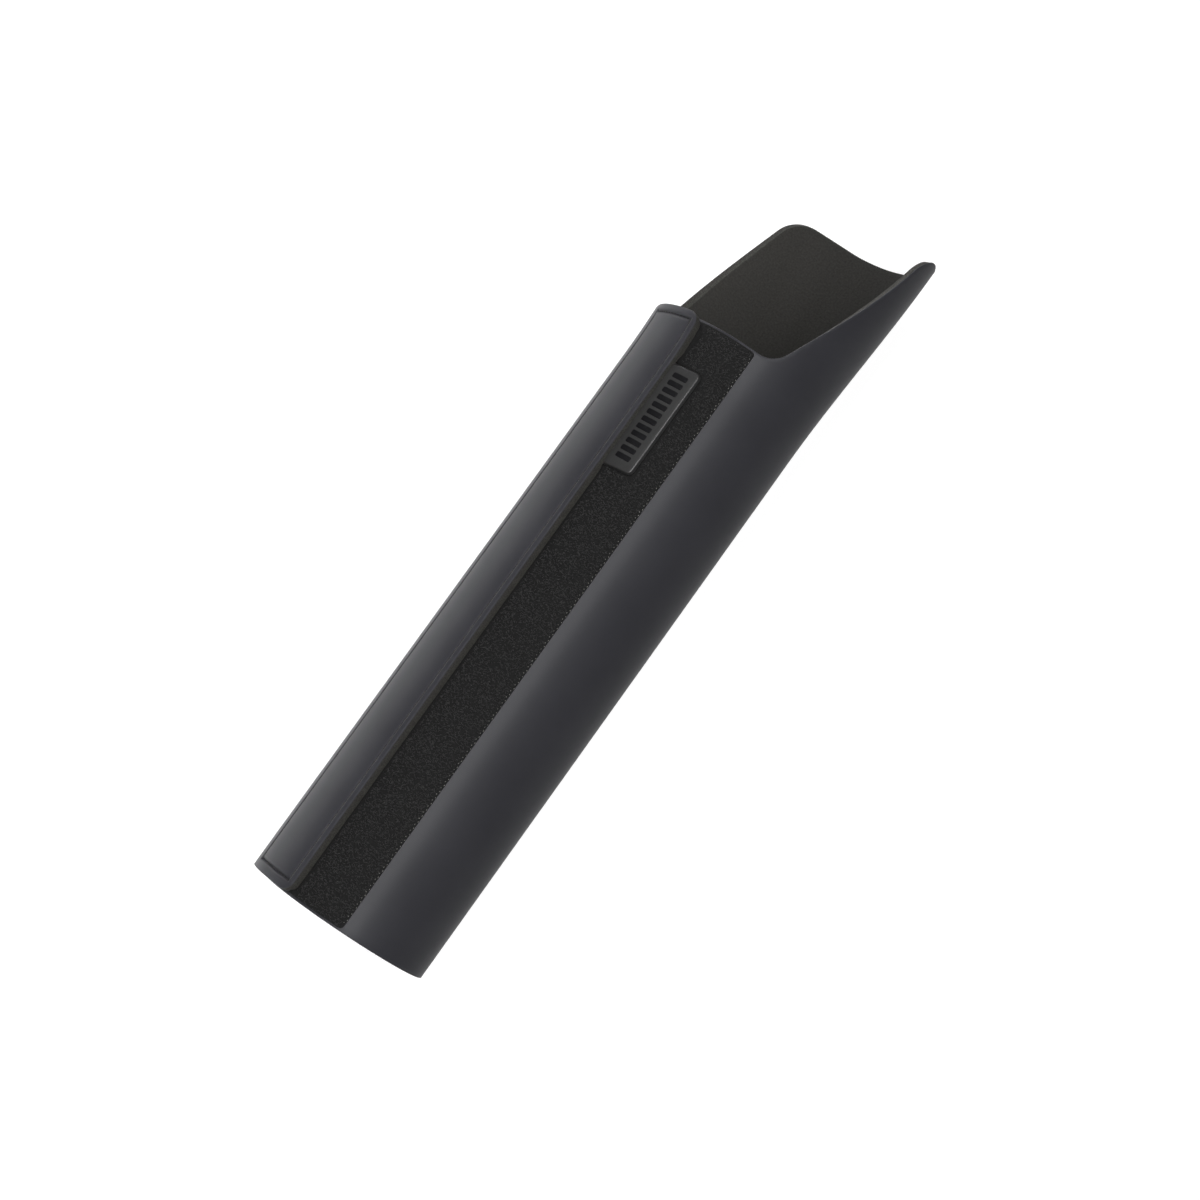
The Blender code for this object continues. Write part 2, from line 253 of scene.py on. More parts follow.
def sheetMesh(outline, profile, topHeight, lowHeight, topPlaces, lowPlaces, margin, lean=0.0):
    # A closed sheet. profile gives (inset, depth share from the top, depth in metres, material)
    # for each ring of the edge, from the upper face round to the lower one. The places inside
    # keep a margin from the edge. lean is how far the lower face stands back, for each point of
    # the outline or for all.
    rings, faces, faceMaterial = [], [], []
    count = len(outline)
    for inset, share, depth, _ in profile:
        ring = insetOutline(outline, inset + lean * share)
        top = topHeight(ring[:, 0], ring[:, 1])
        low = lowHeight(ring[:, 0], ring[:, 1])
        rings.append(np.column_stack([ring, top + (low - top) * share - depth]))
    for level in range(len(profile) - 1):
        upper, lower = level * count, (level + 1) * count
        for k in range(count):
            after = (k + 1) % count
            faces.append((lower + k, lower + after, upper + after, upper + k))
            faceMaterial.append(profile[level][3])
    flat = list(np.concatenate(rings))
    # every edge ring takes the full lighter edge tone of the face cloth: wear and a painted highlight
    wearAndHighlight = [1.0] * len(flat)
    sides = [(0, topPlaces, topHeight, 0), (len(profile) - 1, lowPlaces, lowHeight, profile[-1][3])]
    for level, places, height, material in sides:
        ring = rings[level][:, :2]
        depth = depthInside(places, ring)
        kept = places[depth > margin]
        spots, source, triangles = fillOutline(ring, kept)
        heights = height(spots[:, 0], spots[:, 1])
        depths = depthInside(spots, outline)
        index = []
        for k, origin in enumerate(source):
            if 0 <= origin < count:
                index.append(level * count + origin)
            else:
                index.append(len(flat))
                flat.append(np.array([*spots[k], heights[k]]))
                wearAndHighlight.append(math.exp(-max(depths[k], 0.0) / wearAndHighlightReach))
        for a, b, c in triangles:
            faces.append((index[a], index[b], index[c]) if level == 0 else (index[a], index[c], index[b]))
            faceMaterial.append(material)
    return np.array(flat), faces, faceMaterial, wearAndHighlight


def gridPlaces(columns, rows):
    a, b = np.meshgrid(columns, rows, indexing="ij")
    return np.column_stack([a.ravel(), b.ravel()])


def evenly(first, last, step):
    return np.linspace(first, last, max(2, math.ceil((last - first) / step) + 1))


def refined(values, lines, offsets, gap):
    # grid lines, drawn closer together beside the given lines
    kept = [v for v in values if min(abs(v - line) for line in lines) > gap]
    close = [line + side * offset for line in lines for offset in offsets for side in (-1, 1)]
    return np.unique(np.round(kept + close, 7))


def tubeMesh(centres, radius, sides):
    # closed tubes round many centre lines at once: centres is (tubes, points, 3), in flat places
    tubes, points, _ = centres.shape
    ahead = np.gradient(centres, axis=1)
    ahead /= np.linalg.norm(ahead, axis=2)[:, :, None]
    up = np.zeros_like(ahead)
    up[:, :, 2] = 1.0
    across = np.cross(ahead, up)
    across /= np.maximum(np.linalg.norm(across, axis=2), 1e-9)[:, :, None]
    up = np.cross(across, ahead)
    turn = np.arange(sides) * math.tau / sides
    radius = np.broadcast_to(radius, (tubes, points))[:, :, None, None]
    ringed = (centres[:, :, None, :] + radius * (np.cos(turn)[:, None] * across[:, :, None, :]
              + np.sin(turn)[:, None] * up[:, :, None, :]))
    lower = (np.arange(tubes)[:, None, None] * points + np.arange(points - 1)[None, :, None]) * sides
    upper = lower + sides
    k = np.arange(sides)[None, None, :]
    after = (k + 1) % sides
    quads = np.stack([lower + k, lower + after, upper + after, upper + k], 3)
    faces = [tuple(q) for q in quads.reshape(-1, 4).tolist()]
    for tube in range(tubes):
        first = tube * points * sides
        last = first + (points - 1) * sides
        faces.append(tuple(first + j for j in reversed(range(sides))))
        faces.append(tuple(last + j for j in range(sides)))
    return ringed.reshape(-1, 3), faces


def joined(parts):
    # several meshes, each as (flat places, faces), in one
    places, faces, count = [], [], 0
    for partPlaces, partFaces in parts:
        places.append(partPlaces)
        faces += [tuple(i + count for i in face) for face in partFaces]
        count += len(partPlaces)
    return np.concatenate(places), faces


thread = {
    "stitchPoints": 13,
    "plySides": 5,
    "plyOffset": 0.46,            # shares of the thread's radius
    "plyRadius": 0.58,
}


def pliedThread(centres, radius, lay):
    # a two-ply thread: each ply winds round the centre line once for each length of lay
    steps = np.linalg.norm(np.diff(centres, axis=1), axis=2)
    along = np.concatenate([np.zeros((len(centres), 1)), np.cumsum(steps, 1)], 1)
    ahead = np.gradient(centres, axis=1)
    ahead /= np.linalg.norm(ahead, axis=2)[:, :, None]
    across = np.cross(ahead, np.array([0.0, 0.0, 1.0]))
    across /= np.maximum(np.linalg.norm(across, axis=2), 1e-9)[:, :, None]
    up = np.cross(across, ahead)
    plies = []
    for ply in (0, 1):
        turn = (along / lay * math.tau + ply * math.pi)[:, :, None]
        line = centres + radius * thread["plyOffset"] * (np.cos(turn) * across + np.sin(turn) * up)
        plies.append(tubeMesh(line, radius * thread["plyRadius"], thread["plySides"]))
    return joined(plies)


def dress(piece, slotName, *nodes):
    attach(piece, "root")
    if nodes:
        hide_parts(*nodes)
    return piece


# Materials

def linearColour(hexCode):
    parts = [int(hexCode[k:k + 2], 16) / 255 for k in (1, 3, 5)]
    return [p / 12.92 if p <= 0.04045 else ((p + 0.055) / 1.055) ** 2.4 for p in parts] + [1.0]


def addNode(tree, kind, links=None, **settings):
    node = tree.nodes.new(kind)
    for key, value in settings.items():
        setattr(node, key, value)
    for key, value in (links or {}).items():
        if isinstance(value, bpy.types.NodeSocket):
            tree.links.new(value, node.inputs[key])
        else:
            node.inputs[key].default_value = value
    return node


def newMaterial(name, roughness, specular, sheen=0.0, sheenRoughness=0.5):
    material = bpy.data.materials.new(name)
    material.use_nodes = True
    tree = material.node_tree
    shader = tree.nodes["Principled BSDF"]
    shader.inputs["Roughness"].default_value = roughness
    shader.inputs["Specular IOR Level"].default_value = specular
    shader.inputs["Sheen Weight"].default_value = sheen
    shader.inputs["Sheen Roughness"].default_value = sheenRoughness
    return material, tree, shader


def flatPlaces(tree):
    # where a point lies on the flat sheet, so that every pattern rolls up with the cloth
    return addNode(tree, "ShaderNodeAttribute", attribute_name="flatPlace").outputs["Vector"]


def noisePattern(tree, places, size, detail):
    links = {"Vector": places, "Scale": 1 / size, "Detail": detail}
    return addNode(tree, "ShaderNodeTexNoise", links).outputs["Fac"]


def wovenGrid(tree, places, pitch):
    # two crossed wave textures; a wave repeats every 2 pi / 20 / scale
    scale = math.pi / 10 / pitch
    crossed = [addNode(tree, "ShaderNodeTexWave", {"Vector": places, "Scale": scale},
                       bands_direction=way).outputs["Fac"] for way in ("X", "Y")]
    product = addNode(tree, "ShaderNodeMath", {0: crossed[0], 1: crossed[1]}, operation="MULTIPLY")
    return product.outputs["Value"]


def twoTones(tree, shader, factor, low, high):
    ramp = addNode(tree, "ShaderNodeValToRGB", {"Fac": factor})
    ramp.color_ramp.elements[0].position = 0.3
    ramp.color_ramp.elements[1].position = 0.7
    ramp.color_ramp.elements[0].color = linearColour(low)
    ramp.color_ramp.elements[1].color = linearColour(high)
    tree.links.new(ramp.outputs["Color"], shader.inputs["Base Color"])


def raiseGrain(tree, shader, height, distance, strength):
    bump = addNode(tree, "ShaderNodeBump", {"Height": height, "Distance": distance, "Strength": strength})
    tree.links.new(bump.outputs["Normal"], shader.inputs["Normal"])


def makeFaceFabric():
    # Nylon jersey laminated to neoprene: dyed near-black with a blue cast and calendered flat,
    # so it has a long satin glow. The knit is drawn twice as coarse as it is, to show at all.
    # Towards each cut edge the cloth takes the lighter worn tone: partly wear, partly a painted highlight
    # where the face turns over.
    look = {"shade": "#2e2e32", "wornAndHighlit": "#323236", "wale": 0.6 * mm, "cloud": 26 * mm}
    material, tree, shader = newMaterial("nylon_jersey_face", 0.36, 0.15)
    places = flatPlaces(tree)
    cloud = noisePattern(tree, places, look["cloud"], 3.0)
    # the edge tone is wear and a painted highlight along the cut edges
    wearAndHighlight = addNode(tree, "ShaderNodeAttribute", attribute_name="edgeWearAndHighlight")
    blend = addNode(tree, "ShaderNodeMath", {0: cloud, 1: wearAndHighlight.outputs["Fac"]}, operation="MAXIMUM")
    twoTones(tree, shader, blend.outputs["Value"], look["shade"], look["wornAndHighlit"])
    raiseGrain(tree, shader, wovenGrid(tree, places, look["wale"]), 0.04 * mm, 0.2)
    return material


def makeLining():
    # Brushed nylon lining: matt, slightly brown, with a short raised nap.
    look = {"shade": "#2a2927", "light": "#343331", "nap": 0.7 * mm}
    material, tree, shader = newMaterial("brushed_nylon_lining", 0.85, 0.15, 0.03, 0.6)
    shader.inputs["Diffuse Roughness"].default_value = 1.0
    nap = noisePattern(tree, flatPlaces(tree), look["nap"], 4.0)
    twoTones(tree, shader, nap, look["shade"], look["light"])
    raiseGrain(tree, shader, nap, 0.10 * mm, 0.4)
    return material


def makeCutFoam():
    # Knife-cut closed-cell neoprene: matt, a shade browner than the face, with tiny open cells.
    look = {"cell": "#272624", "foam": "#383734", "pore": 0.45 * mm}
    material, tree, shader = newMaterial("cut_neoprene_foam", 0.8, 0.25)
    links = {"Vector": flatPlaces(tree), "Scale": 1 / look["pore"]}
    cells = addNode(tree, "ShaderNodeTexVoronoi", links).outputs["Distance"]
    twoTones(tree, shader, cells, look["cell"], look["foam"])
    raiseGrain(tree, shader, cells, 0.05 * mm, 0.4)
    return material


def makeLoopPile(name, hollowShade, crown):
    # Brushed nylon loops: each filament is dull black. Its two tones follow the tufts' bump, so the crowns
    # are painted lighter as a highlight and the hollows darker as shade, over random tone.
    look = {"tuftAndShade": 0.3 * mm}
    material, tree, shader = newMaterial(name, 0.75, 0.12, 0.03)
    tuftAndShade = noisePattern(tree, flatPlaces(tree), look["tuftAndShade"], 3.0)
    # darker tone in the bump's hollows is painted shade, lighter tone on its crowns a painted highlight
    twoTones(tree, shader, tuftAndShade, hollowShade, crown)
    raiseGrain(tree, shader, tuftAndShade, 0.2 * mm, 0.7)
    return material


def makeTapeGround():
    # Woven nylon tape under the pile: flat matt black with the square grid of its weave, which
    # is drawn about twice as coarse as it is.
    look = {"gap": "#101010", "yarn": "#242423", "yarnPitch": 0.6 * mm}
    material, tree, shader = newMaterial("woven_nylon_tape", 0.9, 0.15)
    weave = wovenGrid(tree, flatPlaces(tree), look["yarnPitch"])
    twoTones(tree, shader, weave, look["gap"], look["yarn"])
    raiseGrain(tree, shader, weave, 0.1 * mm, 0.5)
    return material


def makeRubber(name, low, high, roughness, specular):
    # Moulded soft PVC: satin from a finely blasted mould, dark, with a waxy highlight on its edges.
    look = {"grain": 0.35 * mm, "cloud": 9 * mm}
    material, tree, shader = newMaterial(name, roughness, specular)
    places = flatPlaces(tree)
    twoTones(tree, shader, noisePattern(tree, places, look["cloud"], 2.0), low, high)
    raiseGrain(tree, shader, noisePattern(tree, places, look["grain"], 2.0), 0.02 * mm, 0.3)
    return material


def makeThread(name, low, high):
    # Bonded polyester thread: two plies with a slight gloss, picked out against the dark cloth.
    look = {"fibre": 0.25 * mm}
    material, tree, shader = newMaterial(name, 0.5, 0.25, 0.03)
    fibre = noisePattern(tree, flatPlaces(tree), look["fibre"], 2.0)
    twoTones(tree, shader, fibre, low, high)
    raiseGrain(tree, shader, fibre, 0.03 * mm, 0.5)
    return material


faceFabric = makeFaceFabric()
lining = makeLining()
cutFoam = makeCutFoam()
# The bed is a darker copy of the loops' nylon: painted shade deep in the pile and in the crease by the
# flap's edge.
shadedPileBed = makeLoopPile("brushed_nylon_bed_painted_shade", "#0e0e0e", "#1f1f1f")
pileLoops = makeLoopPile("brushed_nylon_loops", "#272727", "#474747")
tapeGround = makeTapeGround()
tabRubber = makeRubber("moulded_soft_pvc", "#2e2e2e", "#333333", 0.28, 0.42)
ribRubber = makeRubber("moulded_soft_pvc_black", "#0e0e10", "#131315", 0.55, 0.12)
flapThreadFinish = makeThread("bonded_polyester_thread", "#23221f", "#343330")
endThreadFinish = makeThread("bonded_polyester_thread_black", "#1e1e1e", "#333231")
loopThreadFinish = makeThread("bonded_polyester_thread_grey", "#5c5c59", "#84837e")
print("materials made")


# Sizes of the tab, which the sheet and the hook tape make room for
tab = {
    "endGap": 0.0164,
    "length": 0.0421,
    "reach": 0.0104,
    "flare": 0.0010,
    "slant": 0.0008,
    "tuck": 0.0050,
    "thickness": 0.0013,
    "lift": 0.0004,
    "cornerRadius": 0.0021,
    "edgeTurn": 0.40 * mm,
    "draft": 0.40 * mm,           # how far the moulded edge leans out towards its foot
    "ribs": 12,
    "ribPitch": 3.0 * mm,
    "ribWidth": 1.9 * mm,
    "ribLength": 5.2 * mm,
    "ribHeight": 0.22 * mm,
    "ribPlace": 0.47,             # the middle of the ribs, as a share of the reach
    "ribCorner": 0.45 * mm,
    "ribProfile": ((0.22 * mm, 0.0, 0.0, 0), (0.10 * mm, 0.08, 0.0, 0), (0.02 * mm, 0.3, 0.0, 0),
                   (0.0, 0.7, 0.0, 0), (0.0, 1.0, 0.0, 0)),
}
tabEnd = closedLength - tab["endGap"]
tabStart = tabEnd - tab["length"]


# Foam sleeve: one laminated sheet, its edges knife-cut, its flap pulled in along the stitching
foam = {
    "outlineStep": 1.0 * mm,
    "tongueLean": 0.80 * mm,      # how far the lining stands back along the tongue's cut
    "edgeSwell": 0.30 * mm,       # how far the foam swells out past its pattern
    "faceTurn": 0.22 * mm,        # how softly the face turns over at the cut edge
    "faceRoll": 0.45 * mm,        # and how far down it is drawn
    "liningTurn": 0.25 * mm,
    "columnStep": 1.5 * mm,
    "liningStep": 2.4 * mm,
    "tongueRowStep": 1.7 * mm,
    "seamLines": (0.0, 0.25 * mm, 0.55 * mm, 0.95 * mm, 1.5 * mm),   # grid lines beside a seam
    "seamGap": 1.9 * mm,
    "fineMargin": 5.0 * mm,
    "edgeMargin": 0.45 * mm,
    "leanStart": 1.5 * mm,        # the lean grows from here past the tube's mouth
    "leanLength": 6.0 * mm,
    "grooveDepth": 0.36 * mm,     # how far the seam pulls the foam down
    "grooveWidth": 0.42 * mm,
    "endGrooveDepth": 0.95 * mm,
    "endGrooveWidth": 0.50 * mm,
    "dimple": 0.05,               # how much deeper the groove is at each needle hole
    "pillowDrop": 0.20 * mm,
    "pillowReach": 3.2 * mm,
    "lipDrop": 0.86 * mm,         # how far the flap's cut edge swells downwards
    "lipReach": 0.75 * mm,
    "lipOverTab": 0.18 * mm,
    "lipMargin": 1.0 * mm,        # how far beside the tab the lip starts to grow
    "lipBlend": 2.0 * mm,
    "flapCorner": 0.0038,
    "innerCorner": 0.0006,
    "baseEase": 0.7 * mm,         # the tongue's right side is cut a little wide
    "tipEase": 1.4 * mm,
    "tipReach": 0.7 * mm,         # and its tip a little long
}
flapSeam = {
    "edgeInset": 0.0021,
    "boxWidth": 0.0216,
    "lowerInset": 0.0035,
    "upperInset": 0.0017,
    "pitch": 4.5 * mm,
    "endPitch": 1.8 * mm,
    "threadRadius": 0.17 * mm,
    "lay": 1.3 * mm,
    "dive": 0.4 * mm,             # how far each stitch goes down at its ends
    "divePower": 12,
    # share of the pitch that shows, sideways slant, and how far it stands, in radii
    "sideStitch": {"share": 0.92, "slant": 0.03 * mm, "standing": 0.35},
    "endStitch": {"share": 0.85, "slant": 0.05 * mm, "standing": 0.20},
}
seamNear = flapEdge - flapSeam["edgeInset"]
seamFar = seamNear - flapSeam["boxWidth"]
seamStart = rolled["flapSetback"] + flapSeam["lowerInset"]
seamEnd = closedLength - flapSeam["upperInset"]
stitchCount = round((seamEnd - seamStart) / flapSeam["pitch"])
stitchPitch = (seamEnd - seamStart) / stitchCount
endStitchCount = round((seamNear - seamFar) / flapSeam["endPitch"])
endStitchPitch = (seamNear - seamFar) / endStitchCount


def seamPull(arc, x):
    # how far the box of stitching draws the face of the flap down
    pastArc = np.abs(arc - (seamNear + seamFar) / 2) - (seamNear - seamFar) / 2
    pastX = np.abs(x - (seamStart + seamEnd) / 2) - (seamEnd - seamStart) / 2
    outside = np.hypot(np.maximum(pastArc, 0), np.maximum(pastX, 0))
    distance = np.abs(outside + np.minimum(np.maximum(pastArc, pastX), 0))
    acrossEnd = pastX > pastArc
    beat = np.where(acrossEnd, (arc - seamFar) / endStitchPitch, (x - seamStart) / stitchPitch)
    depth = np.where(acrossEnd, foam["endGrooveDepth"], foam["grooveDepth"])
    width = np.where(acrossEnd, foam["endGrooveWidth"], foam["grooveWidth"])
    dimple = 1 - foam["dimple"] * (1 - np.cos(beat * math.tau))
    pull = depth * dimple * np.exp(-(distance / width) ** 2)
    inside = np.maximum(pastArc, pastX) < 0
    pillow = foam["pillowDrop"] * np.exp(-distance / foam["pillowReach"]) * inside
    return pull + pillow


def faceHeight(arc, x):
    return wall / 2 - seamPull(arc, x)


def liningHeight(arc, x):
    # the cut edge of the flap swells down towards the tape, less where the tab's root lies under it
    flapEnd = closedLength + rolled["flapOverrun"]
    edge = np.minimum(flapEdge - arc, np.minimum(x - rolled["flapSetback"], flapEnd - x))
    pastTab = np.abs(x - (tabStart + tabEnd) / 2) - tab["length"] / 2 - foam["lipMargin"]
    beside = ease(pastTab / foam["lipBlend"])
    drop = foam["lipOverTab"] + (foam["lipDrop"] - foam["lipOverTab"]) * beside
    onFlap = ease((arc - seamFar) / foam["lipBlend"])
    return -wall / 2 - drop * onFlap * ease(1 - edge / foam["lipReach"])


def makeSleeve():
    base, tip = rolled["tongueBase"] / 2, rolled["tongueTip"] / 2
    setback, length = rolled["flapSetback"], rolled["overallLength"] + foam["tipReach"]
    riseEnd = float(arcAt(rolled["riseEnd"]))
    flapEnd = closedLength + rolled["flapOverrun"]
    corners = [
        (innerEdge, 0), (float(arcAt(rolled["riseStart"])), 0), (riseEnd, setback),
        (flapEdge, setback), (flapEdge, flapEnd), (seamFar, flapEnd), (riseEnd, closedLength),
        (base, closedLength), (tip, length - rolled["tipSlant"]), (-tip - foam["tipEase"], length),
        (-base - foam["baseEase"], closedLength), (innerEdge, closedLength + rolled["rimSlant"]),
    ]
    radii = [foam["innerCorner"], 0.0, 0.0, foam["flapCorner"], foam["flapCorner"], 0.0, 0.0,
             rolled["baseRounding"], rolled["tipRounding"], rolled["tipRounding"],
             rolled["baseRounding"], foam["innerCorner"]]
    outline = roundedOutline(corners, radii, foam["outlineStep"])
    profile = []
    for turn in (0, 22, 45, 68, 90):      # the face turning over into the cut
        angle = math.radians(turn)
        inset = foam["faceTurn"] * (1 - math.sin(angle)) - foam["edgeSwell"]
        profile.append((inset, 0.0, foam["faceRoll"] * (1 - math.cos(angle)), 0 if turn < 90 else 1))
    profile += [(-foam["edgeSwell"], 0.35, 0.0, 1), (-foam["edgeSwell"], 0.65, 0.0, 1)]
    for turn in (0, 30, 60, 90):          # and the cut turning under to the lining
        angle = math.radians(turn)
        inset = foam["liningTurn"] * (1 - math.cos(angle)) - foam["edgeSwell"]
        profile.append((inset, 1.0, -foam["liningTurn"] * (1 - math.sin(angle)), 1 if turn < 60 else 2))
    columns = evenly(innerEdge, flapEdge, foam["columnStep"])
    columns = refined(columns, (seamNear, seamFar), foam["seamLines"], foam["seamGap"])
    rows = seamStart + stitchPitch / 4 * np.arange(-4, stitchCount * 4 + 3)
    rows = refined(rows, (seamStart, seamEnd), foam["seamLines"], foam["seamGap"])
    rows = rows[rows < flapEnd]
    fine = gridPlaces(columns[columns > seamFar - foam["fineMargin"]], rows)
    plain = gridPlaces(columns[columns <= seamFar - foam["fineMargin"]], rows[::2])
    tongueRows = evenly(closedLength, rolled["overallLength"], foam["tongueRowStep"])
    tongue = gridPlaces(columns[np.abs(columns) < base], tongueRows[1:])
    # lines just inside the swollen edge keep the lining flat over the hook tape
    lip = foam["lipReach"] + 0.05 * mm
    lipGap = 0.3 * mm
    columns = evenly(innerEdge, flapEdge, foam["liningStep"])
    columns = refined(columns, (flapEdge - lip,), (0,), lipGap)
    rows = evenly(0.0, rolled["overallLength"], foam["liningStep"])
    rows = refined(rows, (setback + lip, flapEnd - lip), (0,), lipGap)
    over, under = np.concatenate([fine, plain, tongue]), gridPlaces(columns, rows)
    pastMouth = outline[:, 1] - closedLength - foam["leanStart"]
    lean = foam["tongueLean"] * ease(pastMouth / foam["leanLength"])
    flat, faces, faceMaterial, wearAndHighlight = sheetMesh(
        outline, profile, faceHeight, liningHeight, over, under, foam["edgeMargin"], lean)
    materials = [faceFabric, cutFoam, lining]
    return newPiece("foam_sleeve", roll(flat), faces, materials, faceMaterial, flat, wearAndHighlight)


sleeve = dress(makeSleeve(), "neoprene_foam", "sleeve_panel")
print("sleeve", len(sleeve.data.polygons), "faces")


# Loop tape: woven ground with a brushed pile of filament loops
loopTape = {
    "edgeAngle": math.radians(91.5),
    "width": 0.0470,
    "endInset": 0.0005,
    "upperInset": 0.0005,
    "cornerRadius": 0.0014,
    "pileRelief": 0.34 * mm,
    "reliefSize": 0.50 * mm,
    "creaseDepth": 0.22 * mm,     # pressed down by the flap's edge
    "creaseWidth": 0.5 * mm,
    "pileTop": 0.1 * mm,          # how far the bed's crowns lie below the tape's full height
    "sunk": 0.05 * mm,            # how far the ground sinks into the foam's face
    "outlineStep": 0.8 * mm,
    "step": 0.36 * mm,            # between places on the part that shows
    "hiddenStep": 2.5 * mm,
    "edgeMargin": 0.25 * mm,
    "edgeProfile": ((0.35 * mm, 0.0, 0.0, 0), (0.12 * mm, 0.12, 0.0, 0), (0.0, 0.4, 0.0, 1),
                    (0.0, 0.8, 0.0, 1), (0.1 * mm, 1.0, 0.0, 1)),
}
pile = {
    "seed": 7,
    "perMm2": 2.4,
    "radius": 0.075 * mm,         # a few filaments lying together
    "sides": 3,
    "headingSpread": 0.8,         # most lie across the tape, as they were brushed
    "span": (0.5, 1.1),           # these three in millimetres
    "bow": (-0.25, 0.25),
    "rise": (0.22, 0.55),
    "foot": 0.38 * mm,            # how far below the tape's full height each loop starts
    "creaseGap": 0.8 * mm,        # the flap's edge presses a crease
    "edgeGap": 0.5 * mm,
    "tabGap": 0.7 * mm,
    "seamGap": 0.7 * mm,
    "rimGap": 0.1 * mm,
}
loopRight = float(arcAt(loopTape["edgeAngle"]))
loopLeft = loopRight - loopTape["width"]


def tapeSide(x):
    # the tape's shown edge, which keeps to one angle where the tube opens
    return arcAt(loopTape["edgeAngle"], x)


def tapeEnd(arc):
    # the tube's rim leans a little, and the tape follows it
    base = rolled["tongueBase"] / 2
    rim = closedLength + rolled["rimSlant"] * np.clip((arc + base) / (innerEdge + base), 0.0, 1.0)
    return rim - loopTape["upperInset"]


def pileHeight(arc, x):
    # matted tufts: ridged noise at the size of a clump of loops
    size = loopTape["reliefSize"]
    relief = np.array([1 - 2 * abs(noise.noise(Vector((a / size, b / size, 0.3)))) for a, b in zip(arc, x)])
    crease = loopTape["creaseDepth"] * np.exp(-((arc - seam) / loopTape["creaseWidth"]) ** 2)
    return loopFace - loopTape["pileTop"] - loopTape["pileRelief"] * (1 - relief) - crease


def makeLoopTape():
    start = loopTape["endInset"]
    end = float(tapeEnd(seam))
    upper = tapeEnd(loopRight)
    side = [(tapeSide(x), x) for x in evenly(openingStart, upper, 3 * mm)[:-1]]
    corners = [(loopLeft, start), (loopRight, start), *side]
    corners += [(tapeSide(upper), upper), (loopLeft, tapeEnd(loopLeft))]
    rounding = [loopTape["cornerRadius"]] * 2
    outline = roundedOutline(corners, rounding + [0.0] * len(side) + rounding, loopTape["outlineStep"])
    step, hiddenStep = loopTape["step"], loopTape["hiddenStep"]
    shown = gridPlaces(evenly(seam - hiddenStep, loopRight, step), evenly(start, end, step))
    hidden = gridPlaces(evenly(loopLeft, seam - 2 * hiddenStep, hiddenStep), evenly(start, end, 3 * mm))
    under = gridPlaces(evenly(loopLeft, loopRight, hiddenStep), evenly(start, end, 5 * mm))
    flat, faces, faceMaterial, _ = sheetMesh(
        outline, loopTape["edgeProfile"], pileHeight, flatFace(wall / 2 - loopTape["sunk"]),
        np.concatenate([shown, hidden]), under, loopTape["edgeMargin"])
    return newPiece("loop_tape", roll(flat), faces, [shadedPileBed, tapeGround], faceMaterial, flat)


def makePile():
    # single loops of filament over the part of the tape that shows
    pick = np.random.default_rng(pile["seed"])
    inset = pile["edgeGap"]
    low = np.array([seam + pile["creaseGap"], loopTape["endInset"] + inset])
    high = np.array([loopRight - 2 * inset, tapeEnd(loopRight) - inset])
    count = int((high - low).prod() / mm ** 2 * pile["perMm2"])
    centre = low + pick.random((count, 2)) * (high - low)
    pastTab = np.maximum(np.abs(centre[:, 1] - (tabStart + tabEnd) / 2) - tab["length"] / 2, 0.0)
    pastTab = np.hypot(pastTab, np.maximum(centre[:, 0] - seam - tab["reach"], 0.0))
    centre = centre[pastTab > pile["tabGap"]]
    count = len(centre)
    heading = pick.normal(0.0, pile["headingSpread"], count)
    span = pick.uniform(*pile["span"], count) * mm
    bow = pick.uniform(*pile["bow"], count) * mm
    rise = pick.uniform(*pile["rise"], count) * mm
    share = np.array([0.0, 0.33, 0.67, 1.0])
    forward = (share - 0.5) * span[:, None]
    sideways = np.sin(share * math.pi) * bow[:, None]
    arc = centre[:, 0:1] + np.cos(heading)[:, None] * forward - np.sin(heading)[:, None] * sideways
    x = centre[:, 1:2] + np.sin(heading)[:, None] * forward + np.cos(heading)[:, None] * sideways
    height = loopFace - pile["foot"] + np.sin(share * math.pi) * rise[:, None]
    arc = np.clip(arc, low[0], tapeSide(x) - pile["seamGap"])
    x = np.clip(x, loopTape["endInset"], tapeEnd(arc) - pile["rimGap"])
    flat, faces = tubeMesh(np.stack([arc, x, height], 2), pile["radius"], pile["sides"])
    return newPiece("loop_pile", roll(flat), faces, [pileLoops], None, flat)


loopTapePiece = dress(makeLoopTape(), "loop_tape", "loop_strip")
pilePiece = dress(makePile(), "loop_tape")
print("loop tape", len(loopTapePiece.data.polygons), "faces, pile", len(pilePiece.data.polygons))


# Hook tape under the flap: woven ground with rows of cut hooks
hookTape = {
    "width": 0.0250,
    "edgeInset": 0.0008,
    "endInset": 0.0012,
    "ground": 0.45 * mm,
    "sunk": 0.03 * mm,            # into the lining
    "step": 2.5 * mm,
    "edgeProfile": ((0.05 * mm, 0.0, 0.0, 0), (0.0, 0.2, 0.0, 0), (0.0, 0.8, 0.0, 0),
                    (0.05 * mm, 1.0, 0.0, 0)),
    "hookPitch": 1.6 * mm,
    "hookRadius": 0.09 * mm,
    "hookMargin": 0.4 * mm,
    "hookRoot": 0.05 * mm,        # how far each hook starts inside the ground
    "hookShape": ((0.0, 0.0), (0.0, 0.30), (0.12, 0.50), (0.34, 0.50), (0.44, 0.34)),   # (along, down) in mm
}


